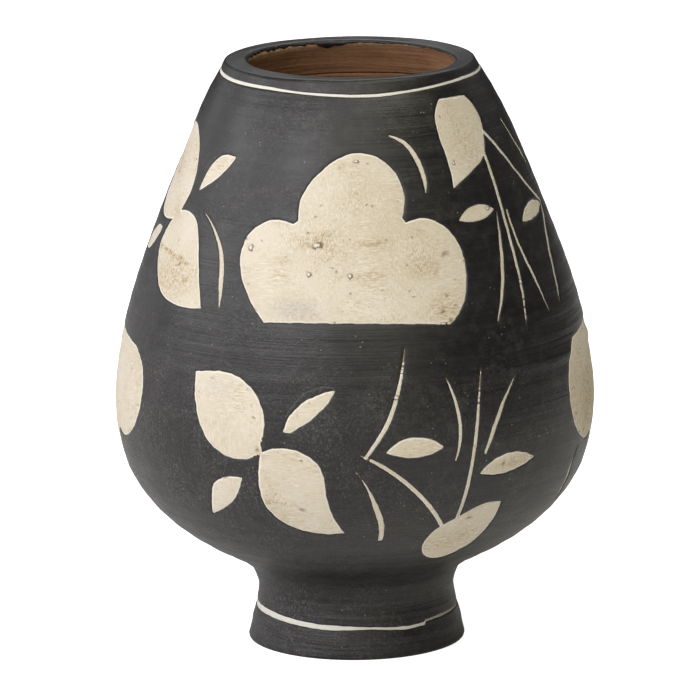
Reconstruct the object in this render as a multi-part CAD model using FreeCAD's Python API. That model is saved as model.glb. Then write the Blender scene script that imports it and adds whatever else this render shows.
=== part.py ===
import FreeCAD, Part
import math
import os

# Hand-thrown vase on a short foot, standing on z = 0 with its axis on Z and its front towards -Y.
# Azimuths are in degrees from the front, positive towards +X. All lengths are in millimetres.

# ---- Clay ----
FOOT_EDGE = 1.5            # height of the rounded edge under the foot
FOOT_HOLLOW_RADIUS = 38.0  # inner radius of the standing ring
FOOT_HOLLOW_MIDDLE = (35.0, 15.0)
FOOT_HOLLOW_TOP_RADIUS = 33.5
FLOOR_UNDERSIDE = 31.0
FLOOR_TOP = 42.5
LIP_EDGE_RADIUS = 1.6      # rounding of both edges of the lip, slip included
LIP_OUTER_CENTRE = (55.7, 268.4)
LIP_INNER_CENTRE = (48.6, 268.2)
NECK_LEAN = 31.5           # degrees between the wall and the vertical at the mouth

# Outside of the finished vase, (radius, height), from the foot's edge up to the lip
OUTSIDE = [
    (49.7, FOOT_EDGE), (47.4, 12), (45.0, 25), (47.4, 33), (52.6, 38), (63.6, 44), (77.2, 52),
    (91.6, 64), (103.0, 80), (108.9, 98), (110.3, 115), (108.2, 135), (101.0, 165), (88.5, 200),
    (74.8, 235), (64.0, 258),
]
# Inside wall, (radius, height), from under the lip down to the floor
INSIDE = [
    (55.4, 253), (65.7, 231), (79.2, 196), (91.5, 162), (98.3, 133), (100.3, 115), (99.0, 100),
    (94.0, 84.5), (84.0, 71), (72.0, 60.5), (58.5, 52.5), (42.0, 46.5), (22.0, 43.2),
]

# ---- Joints between the clay sections: (radius, height) of a point on the joint, rise per mm outwards ----
FOOT_JOINT = (46.0, FLOOR_UNDERSIDE, 0.0)
BELLY_JOINT = (107.0, 140.0, 0.6)
LIP_JOINT = (64.0, 258.0, 0.6)

# ---- Slips ----
DARK_THICKNESS = 0.6
CREAM_THICKNESS = 0.3
SLIP_INSIDE_MOUTH = 0.5    # how far the dark slip runs down inside the mouth
RIM_LINE_HEIGHT = 265.1
RIM_LINE_WIDTH = 1.4
RIM_LINE_TILT = 1.2        # degrees; the line was cut by hand and climbs towards the back
RIM_LINE_HIGH_SIDE = 180.0
MOUTH_CORE_RADIUS = 52.0   # everything at the mouth within this radius belongs to the rim coat
MOUTH_CORE_BOTTOM = 255.0
FOOT_LINE_HEIGHT = 15.7
FOOT_LINE_WIDTH = 1.6
FOOT_LINE_TILT = 1.6
FOOT_LINE_HIGH_SIDE = 200.0

# ---- Cutters that carry the drawings onto the curved wall ----
DRAWING_TILT = 0.95        # degrees clockwise from the front; the drawing as a whole is a little askew
DRAWING_TILT_HEIGHT = 146.0
CUTTER_ABOVE = 8.0
CUTTER_DEPTH = 58.0
REACH = 400.0              # larger than the vase in every direction


# ---------- small geometry helpers ----------
def vec(radius, height):
    """A point of the half section, in the XZ plane."""
    return FreeCAD.Vector(radius, 0, height)


def flat(x, y):
    """A point of a flat drawing."""
    return FreeCAD.Vector(x, y, 0)


def smooth_edge(points, start_tangent=None, end_tangent=None):
    """Smooth curve through the points: a line for two, an arc for three."""
    if start_tangent is not None:
        curve = Part.BSplineCurve()
        curve.interpolate(Points=points, InitialTangent=start_tangent, FinalTangent=end_tangent)
        return curve.toShape()
    if len(points) == 2:
        return Part.makeLine(points[0], points[1])
    if len(points) == 3:
        return Part.Arc(points[0], points[1], points[2]).toShape()
    curve = Part.BSplineCurve()
    curve.interpolate(points)
    return curve.toShape()


def revolved(edges):
    """Solid of revolution about Z from a closed half section."""
    face = Part.Face(Part.Wire(edges))
    return face.revolve(FreeCAD.Vector(0, 0, 0), FreeCAD.Vector(0, 0, 1), 360)


def outward(lean):
    """Unit normal of a wall that leans inwards by the angle as it rises."""
    angle = math.radians(lean)
    return vec(math.cos(angle), math.sin(angle))


def upward(lean):
    """Unit direction up a wall that leans inwards by the angle."""
    angle = math.radians(lean)
    return vec(-math.sin(angle), math.cos(angle))


# ---------- the wall's surfaces ----------
def outside_points(inset):
    """Points of the outside moved into the wall, square to it."""
    end = vec(*LIP_OUTER_CENTRE) + outward(NECK_LEAN) * LIP_EDGE_RADIUS
    points = [vec(*pair) for pair in OUTSIDE] + [end]
    curve = Part.BSplineCurve()
    curve.interpolate(points)
    moved = []
    for point in points:
        along = curve.tangent(curve.parameter(point))[0]
        moved.append(point - FreeCAD.Vector(along.z, 0, -along.x) * inset)
    moved[-1] = vec(*LIP_OUTER_CENTRE) + outward(NECK_LEAN) * (LIP_EDGE_RADIUS - inset)
    return moved


def lip_edges(inset, start):
    """Lip from the outside's last point over the top to the inner edge of the mouth."""
    size = LIP_EDGE_RADIUS - inset
    outer = vec(*LIP_OUTER_CENTRE)
    inner = vec(*LIP_INNER_CENTRE)
    half_turn = (90 + NECK_LEAN) / 2
    outer_middle = outer + outward(half_turn) * size
    outer_top = outer + vec(0, size)
    inner_top = inner + vec(0, size)
    inner_middle = inner + outward(NECK_LEAN / 2 + 135) * size
    inner_end = inner - outward(NECK_LEAN) * size
    return [
        Part.Arc(start, outer_middle, outer_top).toShape(),
        Part.makeLine(outer_top, inner_top),
        Part.Arc(inner_top, inner_middle, inner_end).toShape(),
    ], inner_end


def surface_edges(inset):
    """One layer's surface from the foot over the lip to just inside the mouth."""
    points = outside_points(inset)
    wall = smooth_edge(points)
    lip, inner_end = lip_edges(inset, points[-1])
    last = inner_end - upward(NECK_LEAN) * SLIP_INSIDE_MOUTH
    return [wall] + lip + [Part.makeLine(inner_end, last)], points[0], last


def slip_layer(outer_inset, inner_inset):
    """Shell of slip between two depths below the finished outside."""
    outer, outer_start, outer_end = surface_edges(outer_inset)
    inner, inner_start, inner_end = surface_edges(inner_inset)
    ends = [Part.makeLine(outer_end, inner_end), Part.makeLine(inner_start, outer_start)]
    return revolved(Part.sortEdges(outer + inner + ends)[0])


# ---------- clay sections ----------
def clay_half_section():
    """Closed outline of the whole clay wall, floor and foot."""
    points = outside_points(DARK_THICKNESS)
    lip, mouth = lip_edges(DARK_THICKNESS, points[-1])
    floor_middle = vec(0, FLOOR_TOP)
    inside = [mouth] + [vec(*pair) for pair in INSIDE] + [floor_middle]
    hollow_top = vec(FOOT_HOLLOW_TOP_RADIUS, FLOOR_UNDERSIDE)
    hollow_bottom = vec(FOOT_HOLLOW_RADIUS, FOOT_EDGE)
    foot_inner = vec(FOOT_HOLLOW_RADIUS + FOOT_EDGE, 0)
    foot_outer = vec(points[0].x - FOOT_EDGE, 0)
    round_off = FOOT_EDGE * (1 - math.sqrt(0.5))
    return [
        smooth_edge(points),
        *lip,
        smooth_edge(inside, -upward(NECK_LEAN), vec(-1, 0)),
        Part.makeLine(floor_middle, vec(0, FLOOR_UNDERSIDE)),
        Part.makeLine(vec(0, FLOOR_UNDERSIDE), hollow_top),
        Part.Arc(hollow_top, vec(*FOOT_HOLLOW_MIDDLE), hollow_bottom).toShape(),
        Part.Arc(hollow_bottom, vec(FOOT_HOLLOW_RADIUS + round_off, round_off), foot_inner).toShape(),
        Part.makeLine(foot_inner, foot_outer),
        Part.Arc(foot_outer, vec(points[0].x - round_off, round_off), points[0]).toShape(),
    ]


def between(lower, upper):
    """Region between two joints, each a cone or plane about the axis."""
    def height_at(joint, radius):
        joint_radius, joint_height, rise = joint
        return joint_height + rise * (radius - joint_radius)
    corners = [
        vec(0, height_at(lower, 0)), vec(REACH, height_at(lower, REACH)),
        vec(REACH, height_at(upper, REACH)), vec(0, height_at(upper, 0)),
    ]
    edges = [Part.makeLine(corners[index - 1], corners[index]) for index in range(len(corners))]
    return revolved(edges)


def clay_sections():
    """The four clay sections, luted one on the other."""
    clay = revolved(clay_half_section())
    below = (0.0, -REACH, 0.0)
    above = (0.0, REACH, LIP_JOINT[2])
    limits = [below, FOOT_JOINT, BELLY_JOINT, LIP_JOINT, above]
    names = ["clay_foot_ring", "clay_bowl", "clay_shoulder", "clay_lip"]
    return {name: clay.common(between(limits[index], limits[index + 1])) for index, name in enumerate(names)}


# ---------- ring lines ----------
def slab(low, high, height, tilt, high_side):
    """Flat slab from low to high about a plane that crosses the axis at a height and tips up to one side."""
    box = Part.makeBox(2 * REACH, 2 * REACH, high - low, FreeCAD.Vector(-REACH, -REACH, low))
    angle = math.radians(high_side)
    uphill = FreeCAD.Vector(math.sin(angle), -math.cos(angle), 0)
    box.rotate(FreeCAD.Vector(0, 0, 0), uphill.cross(FreeCAD.Vector(0, 0, 1)), tilt)
    box.translate(FreeCAD.Vector(0, 0, height))
    return box


# ---------- flat drawings ----------
def outline(stretches):
    """Closed flat face. Each stretch runs smoothly from its first point to the next stretch's first."""
    edges = []
    for index, stretch in enumerate(stretches):
        following = stretches[(index + 1) % len(stretches)][0]
        edges.append(smooth_edge([flat(*pair) for pair in stretch + [following]]))
    return Part.Face(Part.Wire(edges))


def stroke(points):
    """Tool stroke along a smooth middle line; each point is x, y and the width there."""
    left = []
    right = []
    for index, (x, y, width) in enumerate(points):
        before = points[max(index - 1, 0)]
        after = points[min(index + 1, len(points) - 1)]
        along = flat(after[0] - before[0], after[1] - before[1]).normalize()
        aside = flat(-along.y, along.x) * (width / 2)
        left.append(flat(x, y) + aside)
        right.append(flat(x, y) - aside)
    right.reverse()
    edges = [
        smooth_edge(left), Part.makeLine(left[-1], right[0]),
        smooth_edge(right), Part.makeLine(right[-1], left[0]),
    ]
    return Part.Face(Part.Wire(edges))


# ---------- motifs: flat drawings in the plane that touches the wall at the motif's centre ----------
def cloud_up():
    """Cloud with a flat base, two side lobes and a tall middle lobe."""
    return {"": [outline([
        [(-41, -33), (-49, -19), (-52, -5), (-46.5, 9.5), (-37.5, 13.5)],
        [(-28, 11)],
        [(-26, 12.5), (-25, 22), (-15.5, 35), (1, 43), (15.5, 37), (22, 22)],
        [(21, 14)],
        [(22.5, 12), (32, 14.5), (43, 9), (50, -9), (48, -25)],
        [(42.5, -33), (0, -34.5)],
    ])]}


def cloud_down(top):
    """The cloud turned upside down, hanging from a flat top at the given height."""
    return {"": [outline([
        [(-41.5, top), (-52, 13), (-55, 2), (-51.5, -12.5), (-42.5, -21), (-32, -24.5)],
        [(-25, -23)],
        [(-23.5, -25), (-22, -35), (-13, -45.5), (0, -50), (13, -45.5), (21.5, -35)],
        [(22.5, -25)],
        [(24.5, -23), (33, -24.5), (43, -20.5), (51.5, -12), (55, 2), (52, 12)],
        [(41.5, top), (0, top + 2)],
    ])]}


def cloud_down_arc():
    """Curved stroke beside the hanging cloud's middle lobe."""
    return {"": [stroke([(-46.5, -30, 1.05), (-45.5, -36, 2.0), (-43, -43, 2.2), (-38, -51, 0.95)])]}


def petals_up():
    """Two round petals that meet at a neck, two small leaves and a curved stroke."""
    pair = outline([
        [(-9, 1.5), (-2, 2), (5.5, 0), (13.5, -10), (20.5, -24)],
        [(27.5, -37.5), (10, -40), (-5, -36.5), (-15, -27.5), (-20.5, -17)],
        [(-15.5, -4), (-24, -4.5), (-36, -0.5), (-45, 9), (-48.5, 25)],
        [(-47, 38.5), (-36, 41.5), (-22, 39), (-9, 26), (-5.5, 13)],
    ])
    leaf_high = outline([
        [(1, 12), (2.5, 21), (8, 29.5)],
        [(19, 32), (16, 25.5), (9.5, 18)],
    ])
    leaf_low = outline([
        [(-24.5, -9), (-31, -8), (-41, -12)],
        [(-49, -19), (-40, -20.5), (-30, -16.5)],
    ])
    arc = stroke([(10, 4, 0.75), (20.5, -2, 1.4), (29.5, -12, 2.4), (33.5, -22, 2.6), (37, -34.5, 0.85)])
    return {"_pair": [pair], "_leaf_high": [leaf_high], "_leaf_low": [leaf_low], "_arc": [arc]}


def petals_down():
    """The two petals and two leaves of the lower row."""
    pair = outline([
        [(0.5, 1.5), (9.5, 4), (20, 2), (27.5, -5), (29, -15), (30, -26)],
        [(33.5, -38), (21, -38.5), (8, -34), (-0.5, -24), (-2, -12)],
        [(-0.5, 0)],
        [(-3.5, -0.5), (-14, -3.5), (-28.5, 4), (-34.5, 17)],
        [(-36, 32.5), (-26, 34.5), (-16.5, 34.5), (-4, 27.5), (1.5, 15)],
        [(0, 5)],
    ])
    leaf_high = outline([
        [(10, 11), (15.5, 22), (24, 28)],
        [(33, 30.5), (27.5, 21.5), (19.5, 14.5)],
        [(14, 11)],
    ])
    leaf_low = outline([
        [(-10, -12), (-20.5, -13.5), (-25.5, -17), (-28, -25)],
        [(-29.5, -34), (-22.5, -30), (-16, -24.5)],
    ])
    return {"_pair": [pair], "_leaf_high": [leaf_high], "_leaf_low": [leaf_low]}


def sprig_up():
    """Large leaf with a stem and a bent bough, loose strokes and small leaves."""
    big_leaf = outline([
        [(-15, 53.5)],
        [(1.5, 52.5), (6, 42), (3.5, 32.5), (-1, 24.5), (-12, 18.5)],
        [(-25.5, 13), (-24, 24), (-23.5, 38), (-20.5, 48)],
    ])
    stem = stroke([(-1, 28, 2.1), (-0.5, 5, 2.3), (-1.5, -17, 2.1), (-3, -36, 1.8), (-6.5, -55, 0.95)])
    bough = stroke([(1.5, 38, 2.0), (12.5, 24.5, 2.2), (25, 10, 2.2), (36, 1.5, 2.2), (43, -2, 1.6)])
    bough_end = stroke([
        (41.5, -1.5, 1.4), (36.5, -11, 2.4), (31, -22, 2.6), (28, -35, 2.4), (25.5, -48.5, 1.05),
    ])
    outer = stroke([(25.5, 38.5, 1.6), (32, 28, 2.4), (38, 20, 2.4), (43, 13, 0.95)])
    left = stroke([(-5, -2, 0.85), (-8.5, -16, 1.9), (-14.5, -33.5, 2.0), (-23, -49.5, 0.95)])
    right = stroke([(2.5, -2, 1.6), (3.5, -18, 1.8), (8, -34.5, 1.8), (13.5, -51.5, 1.05)])
    arc = stroke([
        (-44.5, 43.5, 0.95), (-40, 38.5, 1.9), (-37.5, 28, 2.3), (-37.5, 21, 2.0), (-39, 14.5, 0.85),
    ])
    leaf_left = outline([
        [(-28, -1.5), (-20, 3), (-13, 3)],
        [(-6, -0.5), (-13, -3.5), (-22, -3.5)],
    ])
    leaf_right = outline([
        [(12, -9.5), (19, -3), (29, -0.5)],
        [(39.5, -2.5), (30, -7.5), (20, -9.5)],
    ])
    return {
        "_bough": [big_leaf, stem, bough, bough_end], "_stroke_outer": [outer], "_stroke_left": [left],
        "_stroke_right": [right], "_arc": [arc], "_leaf_left": [leaf_left], "_leaf_right": [leaf_right],
    }


def sprig_down():
    """The sprig of the lower row, its large leaf at the bottom."""
    big_leaf = outline([
        [(32, -23.5), (22, -23), (11, -28), (0.5, -35), (-2.5, -42.5), (0.5, -50.5), (10, -55), (20, -51),
         (28, -40)],
    ])
    stem = stroke([(9.5, -32, 2.2), (13, -5, 2.0), (16.5, 22, 1.7), (19, 40, 0.85)])
    bough = stroke([(4.5, -35, 2.2), (-6, -20.5, 2.2), (-20, -7, 2.1), (-31, 0.5, 1.8), (-38.5, 4, 0.95)])
    bough_end = stroke([(-36.5, 2.5, 1.6), (-33, 8, 2.0), (-27, 18, 2.2), (-21.5, 32, 1.8), (-17, 51, 0.85)])
    outer = stroke([
        (-41, -2.5, 0.75), (-34.5, -11.5, 1.4), (-30, -20.5, 2.6), (-25.5, -30.5, 2.6), (-23.5, -40, 1.6),
    ])
    left = stroke([(1, 38, 0.75), (5, 28, 1.6), (7.2, 13, 1.9), (5, 0.5, 1.05)])
    right = stroke([(38, 34.5, 0.75), (31, 25.5, 1.6), (25, 14, 2.3), (20, 2, 1.4)])
    leaf_left = outline([
        [(-27.5, 5.5), (-20.5, 11.5), (-11, 12.5)],
        [(-0.5, 7.5), (-10, 3.5), (-21, 3.5)],
    ])
    leaf_right = outline([
        [(17.5, -7), (25.5, -1), (37, 0.5)],
        [(48.5, -4.5), (36, -8.5), (26, -9)],
    ])
    return {
        "_bough": [big_leaf, stem, bough, bough_end], "_stroke_outer": [outer], "_stroke_left": [left],
        "_stroke_right": [right], "_leaf_left": [leaf_left], "_leaf_right": [leaf_right],
    }


# Name, pieces, azimuth, height and scale of each motif around the vase
PLACES = [
    ("cloud_up_front", cloud_up(), 0, 200, 1.0),
    ("petals_up_left", petals_up(), -60, 205, 1.0),
    ("sprig_up_right", sprig_up(), 52, 212, 1.0),
    ("petals_up_back", petals_up(), 125, 206, 0.9),
    ("cloud_up_back", cloud_up(), 179, 201, 0.9),
    ("sprig_up_back", sprig_up(), 226, 212, 0.88),
    ("petals_down_front", petals_down(), -22, 108, 1.0),
    ("sprig_down_front", sprig_down(), 22, 105, 1.0),
    ("cloud_down_right", cloud_down(25), 92.6, 125, 1.0),
    ("arc_down_right", cloud_down_arc(), 92.6, 125, 1.0),
    ("petals_down_back", petals_down(), 156.5, 109, 1.0),
    ("sprig_down_back", sprig_down(), 201, 105, 1.0),
    ("cloud_down_left", cloud_down(19.5), 268.8, 125, 1.0),
    ("arc_down_left", cloud_down_arc(), 268.8, 125, 1.0),
]


def wall_frame(azimuth, height):
    """Placement whose X runs around the wall, Y up it and Z square out of it."""
    curve = Part.BSplineCurve()
    curve.interpolate(outside_points(0))
    level = Part.Line(vec(0, height), vec(REACH, height))
    point = curve.intersectCC(level)[0]
    there = vec(point.X, point.Z)
    along = curve.tangent(curve.parameter(there))[0]
    turn = math.radians(azimuth)
    outside = FreeCAD.Vector(math.sin(turn), -math.cos(turn), 0)
    around = FreeCAD.Vector(math.cos(turn), math.sin(turn), 0)
    up = outside * along.x + FreeCAD.Vector(0, 0, along.z)
    normal = around.cross(up)
    origin = outside * there.x + FreeCAD.Vector(0, 0, height)
    matrix = FreeCAD.Matrix(
        around.x, up.x, normal.x, origin.x,
        around.y, up.y, normal.y, origin.y,
        around.z, up.z, normal.z, origin.z,
        0, 0, 0, 1)
    return FreeCAD.Placement(matrix)


def cutter(faces, azimuth, height, scale):
    """Solid that carries flat drawings through the wall's slips, square to the wall."""
    solids = []
    for face in faces:
        drawn = face.copy()
        drawn.scale(scale)
        drawn.translate(FreeCAD.Vector(0, 0, CUTTER_ABOVE))
        solids.append(drawn.extrude(FreeCAD.Vector(0, 0, -CUTTER_DEPTH)))
    body = solids[0]
    if len(solids) > 1:
        body = body.fuse(solids[1:])
    askew = FreeCAD.Rotation(FreeCAD.Vector(0, 1, 0), DRAWING_TILT)
    pivot = FreeCAD.Vector(0, 0, DRAWING_TILT_HEIGHT)
    body.Placement = FreeCAD.Placement(FreeCAD.Vector(0, 0, 0), askew, pivot) * wall_frame(azimuth, height)
    return body


def slip_pieces():
    """Dark coats, cream ring lines and one cream inlay for each drawn piece."""
    dark = slip_layer(0, DARK_THICKNESS)
    cream = slip_layer(DARK_THICKNESS - CREAM_THICKNESS, DARK_THICKNESS)
    mouth_core = Part.makeCylinder(MOUTH_CORE_RADIUS, REACH, FreeCAD.Vector(0, 0, MOUTH_CORE_BOTTOM))
    at_rim = (RIM_LINE_HEIGHT, RIM_LINE_TILT, RIM_LINE_HIGH_SIDE)
    at_foot = (FOOT_LINE_HEIGHT, FOOT_LINE_TILT, FOOT_LINE_HIGH_SIDE)
    rim_half = RIM_LINE_WIDTH / 2
    foot_half = FOOT_LINE_WIDTH / 2
    rim_line = slab(-rim_half, rim_half, *at_rim).cut(mouth_core)
    over_rim_line = slab(rim_half, REACH, *at_rim)
    to_rim_line = slab(-rim_half, REACH, *at_rim)
    foot_line = slab(-foot_half, foot_half, *at_foot)
    under_foot_line = slab(-REACH, -foot_half, *at_foot)
    to_foot_line = slab(-REACH, foot_half, *at_foot)
    pieces = {
        "dark_coat_rim": dark.common(over_rim_line.fuse(mouth_core)),
        "dark_coat_foot": dark.common(under_foot_line),
        "cream_rim_line": cream.common(rim_line),
        "cream_foot_line": cream.common(foot_line),
    }
    cutters = []
    for place, drawings, azimuth, height, scale in PLACES:
        for piece, faces in drawings.items():
            tool = cutter(faces, azimuth, height, scale)
            cutters.append(tool)
            pieces["cream_" + place + piece] = cream.common(tool)
    pieces["dark_coat_body"] = dark.cut([to_rim_line, mouth_core, to_foot_line] + cutters)
    return pieces


def main():
    """Build every piece and write one STEP file for each."""
    os.makedirs("parts", exist_ok=True)
    pieces = clay_sections()
    pieces.update(slip_pieces())
    for name, shape in pieces.items():
        solids = shape.Solids
        print(name, len(solids), shape.isValid(), round(shape.Volume, 1))
        solids[0].exportStep("parts/" + name + ".step")


main()
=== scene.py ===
import math

import bpy
import numpy as np
from mathutils import Matrix, Vector
from mathutils.geometry import delaunay_2d_cdt


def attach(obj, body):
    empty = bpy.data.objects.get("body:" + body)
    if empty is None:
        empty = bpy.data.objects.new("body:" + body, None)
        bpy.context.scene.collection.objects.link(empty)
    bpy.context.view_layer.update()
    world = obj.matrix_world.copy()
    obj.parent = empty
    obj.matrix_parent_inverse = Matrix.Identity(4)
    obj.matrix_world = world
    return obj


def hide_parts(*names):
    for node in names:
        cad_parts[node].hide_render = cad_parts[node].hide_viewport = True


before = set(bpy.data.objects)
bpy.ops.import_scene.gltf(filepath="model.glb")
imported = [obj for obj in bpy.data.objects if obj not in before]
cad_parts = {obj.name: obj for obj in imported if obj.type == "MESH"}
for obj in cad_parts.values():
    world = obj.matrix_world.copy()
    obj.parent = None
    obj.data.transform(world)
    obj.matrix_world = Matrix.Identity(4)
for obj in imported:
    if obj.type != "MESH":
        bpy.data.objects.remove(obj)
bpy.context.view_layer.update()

# A hand-thrown clay vase: brown clay wall, dark slip outside, cream slip where drawings were cut.
# Drawings and the wall's profile are in millimetres; azimuth 0 is the front (-Y), positive to +X.

BODY = "root"
MM = 0.001
TURN = 2 * math.pi
rng = np.random.default_rng(7)

# ---------------- wall profile
FOOT_EDGE = 1.5
OUTSIDE = [
    (49.7, FOOT_EDGE), (47.4, 12), (45.0, 25), (47.4, 33), (52.6, 38), (63.6, 44), (77.2, 52),
    (91.6, 64), (103.0, 80), (108.9, 98), (110.3, 115), (108.2, 135), (101.0, 165), (88.5, 200),
    (74.8, 235), (64.0, 258),
]
INSIDE = [
    (55.4, 253), (65.7, 231), (79.2, 196), (91.5, 162), (98.3, 133), (100.3, 115), (99.0, 100),
    (94.0, 84.5), (84.0, 71), (72.0, 60.5), (58.5, 52.5), (42.0, 46.5), (22.0, 43.2), (0.01, 42.5),
]
LIP_SIZE = 1.6
LIP_OUTER = (55.7, 268.4)
LIP_INNER = (48.6, 268.2)
NECK_LEAN = 31.5
SLIP_DEPTH = 0.6
CREAM_LEVEL = -0.30    # levels are mm out of the skin's surface
BASE_LEVEL = -0.8      # under every coat and inlay, just inside the clay
EDGE_LEVEL = -0.12     # a cut edge of the dark coat, softened over EDGE_WIDTH
FOLD_LEVEL = -0.34     # halfway down a folded edge
EDGE_WIDTH = 0.42
LIP_JOINT, BELLY_JOINT, FOOT_JOINT = 258.0, 140.0, 31.0    # heights where the clay sections meet outside

# The thrown shape leans a little: sideways shift in mm at each height
LEAN = [(0, 0.2), (18, 0.25), (27, 0.1), (40, -0.1), (55, 0.1), (70, 0.3), (120, 0.3), (149, 0.35), (177, 0.4),
        (205, 0.3), (240, 0.1), (252, -0.4), (270, -0.8)]
LIP_TILT = 0.005   # rise of the lip for each mm to the right


def slopes(t, p):
    """Slopes of the smooth curve through p at the parameters t, with parabola ends."""
    n = len(t)
    h = np.diff(t)
    d = np.diff(p, axis=0) / h[:, None]
    a = np.eye(n)
    b = np.zeros_like(p)
    b[0] = d[0] + (d[0] - d[1]) * h[0] / (h[0] + h[1])
    b[-1] = d[-1] + (d[-1] - d[-2]) * h[-1] / (h[-1] + h[-2])
    for i in range(1, n - 1):
        a[i, i - 1], a[i, i], a[i, i + 1] = h[i], 2 * (h[i - 1] + h[i]), h[i - 1]
        b[i] = 3 * (h[i] * d[i - 1] + h[i - 1] * d[i])
    return np.linalg.solve(a, b)


def smooth(points, step):
    """Points every step mm or so along a smooth curve through the given points."""
    p = np.array(points, float)
    t = np.r_[0, np.cumsum(np.hypot(*np.diff(p, axis=0).T))]
    count = max(2, int(math.ceil(t[-1] / step)) + 1)
    at = np.linspace(0, t[-1], count)
    if len(p) == 2:
        return p[0] + (p[1] - p[0]) * (at / t[-1])[:, None]
    m = slopes(t, p)
    i = np.clip(np.searchsorted(t, at, side="right") - 1, 0, len(t) - 2)
    h = (t[i + 1] - t[i])[:, None]
    w = (at - t[i])[:, None] / h
    return ((1 + 2 * w) * (1 - w) ** 2 * p[i] + w * (1 - w) ** 2 * h * m[i]
            + w * w * (3 - 2 * w) * p[i + 1] + w * w * (w - 1) * h * m[i + 1])


def arc(centre, size, start, end, count=12):
    """Points on an arc, angles in degrees from the outward direction, positive upwards."""
    angle = np.radians(np.linspace(start, end, count))
    return np.c_[centre[0] + size * np.cos(angle), centre[1] + size * np.sin(angle)]


class Path:
    """A half-section curve; s is the distance along it and its free side is to its right."""

    def __init__(self, points):
        points = np.array(points, float)
        keep = np.r_[True, np.hypot(*np.diff(points, axis=0).T) > 1e-6]
        self.p = points[keep]
        self.s = np.r_[0, np.cumsum(np.hypot(*np.diff(self.p, axis=0).T))]
        along = np.gradient(self.p, self.s, axis=0)
        along /= np.hypot(*along.T)[:, None]
        self.n = np.c_[along[:, 1], -along[:, 0]]
        self.length = self.s[-1]

    def at(self, s):
        r, z = (np.interp(s, self.s, self.p[:, k]) for k in (0, 1))
        nr, nz = (np.interp(s, self.s, self.n[:, k]) for k in (0, 1))
        return r, z, nr, nz


MOUTH_OFFSET = 1.2    # the opening sits this far to the right of the axis
neck = math.radians(NECK_LEAN)
wall_end = (LIP_OUTER[0] + LIP_SIZE * math.cos(neck), LIP_OUTER[1] + LIP_SIZE * math.sin(neck))
foot_arc = arc((OUTSIDE[0][0] - FOOT_EDGE, FOOT_EDGE), FOOT_EDGE, -80, 0)
wall_points = smooth(OUTSIDE + [wall_end], 0.5)
lip_points = np.r_[arc(LIP_OUTER, LIP_SIZE, NECK_LEAN, 90), arc(LIP_INNER, LIP_SIZE, 90, 180 + NECK_LEAN, 24)]
under_lip = lip_points[-1] + np.outer(np.linspace(0.3, 6, 16), (math.sin(neck), -math.cos(neck)))
SKIN = Path(np.r_[foot_arc, wall_points, lip_points, under_lip])
WALL_START = SKIN.s[len(foot_arc) - 1]
WALL_END = WALL_START + np.hypot(*np.diff(wall_points, axis=0).T).sum()
LIP_END = np.interp(len(foot_arc) + len(wall_points) + len(lip_points) - 3, np.arange(len(SKIN.s)), SKIN.s)
LIP_TOP = WALL_END + LIP_SIZE
on_wall = (SKIN.s >= WALL_START) & (SKIN.s <= WALL_END)
WALL_Z, WALL_R, WALL_S = SKIN.p[on_wall, 1], SKIN.p[on_wall, 0], SKIN.s[on_wall]

mouth_corner = arc(LIP_INNER, LIP_SIZE - SLIP_DEPTH, 120, 180 + NECK_LEAN, 10)
INNER = Path(np.r_[mouth_corner[:-1], smooth([tuple(mouth_corner[-1])] + INSIDE, 0.8)])

lean_curve = smooth(LEAN, 2.0)


def s_at(z):
    """Distance along the skin at a height on the outside wall."""
    return np.interp(z, WALL_Z, WALL_S)


def relief(theta, s):
    """Unevenness of the thrown wall in mm: slow wobble and fine turning ridges."""
    z = SKIN.at(s)[1]
    slow = 0.16 * np.sin(2 * theta + 0.7 + z / 70) + 0.10 * np.sin(3 * theta - z / 45 + 2.1)
    slow = slow + 0.06 * np.sin(5 * theta + z / 23)
    low = np.exp(-((z - 30) / 26) ** 2)
    ridge = 0.5 + 0.5 * np.sin(theta * 3 + z / 17)
    turn = (0.035 + 0.05 * low) * np.sin(s * 1.35 + 0.5 * np.sin(theta + s / 31)) * ridge
    turn = turn + (0.05 + 0.09 * low) * np.sin(s * 0.62 + 1.3 + 0.6 * np.sin(theta * 2 + s / 19))
    seam = np.exp(-((z - 141.5) / 2.2) ** 2) * (0.15 + 0.45 * np.clip(np.sin(theta), 0, 1) ** 4)
    edge = np.clip((s - 1.0) / 6, 0, 1)
    slim = np.interp(z, [30, 40, 70, 85, 110, 200, 235], [0, 0.4, 0.4, 0.2, 0.3, 0.3, 0.55])
    return (slow * 0.8 + turn + seam - slim) * edge


def space(path, theta, s, h):
    """Point of the vase in metres, h mm out of the path's surface."""
    r, z, nr, nz = path.at(s)
    r = r + h * nr
    z = z + h * nz
    x = r * np.sin(theta) + np.interp(z, lean_curve[:, 0], lean_curve[:, 1])
    rise = LIP_TILT * np.clip((z - 225) / 40, 0, 1) ** 2 * x
    return np.stack([x, -r * np.cos(theta), z + rise], -1) * MM


# ---------------- ring lines
def turn_angles(columns):
    return np.arange(columns) * TURN / columns


def ring_wave(theta, seed, size):
    """Slow hand wander of a turned line, the same at both ends of the turn."""
    r = np.random.default_rng(seed)
    total = np.zeros_like(theta)
    for k in range(2, 12):
        total = total + r.normal() * np.sin(k * theta + r.uniform(0, TURN)) / k
    return total * size


def around(theta, stops):
    """Value that runs straight between (azimuth in degrees, value) stops."""
    az = (np.degrees(theta) + 180) % 360 - 180
    return np.interp(az, [stop[0] for stop in stops], [stop[1] for stop in stops])


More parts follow.
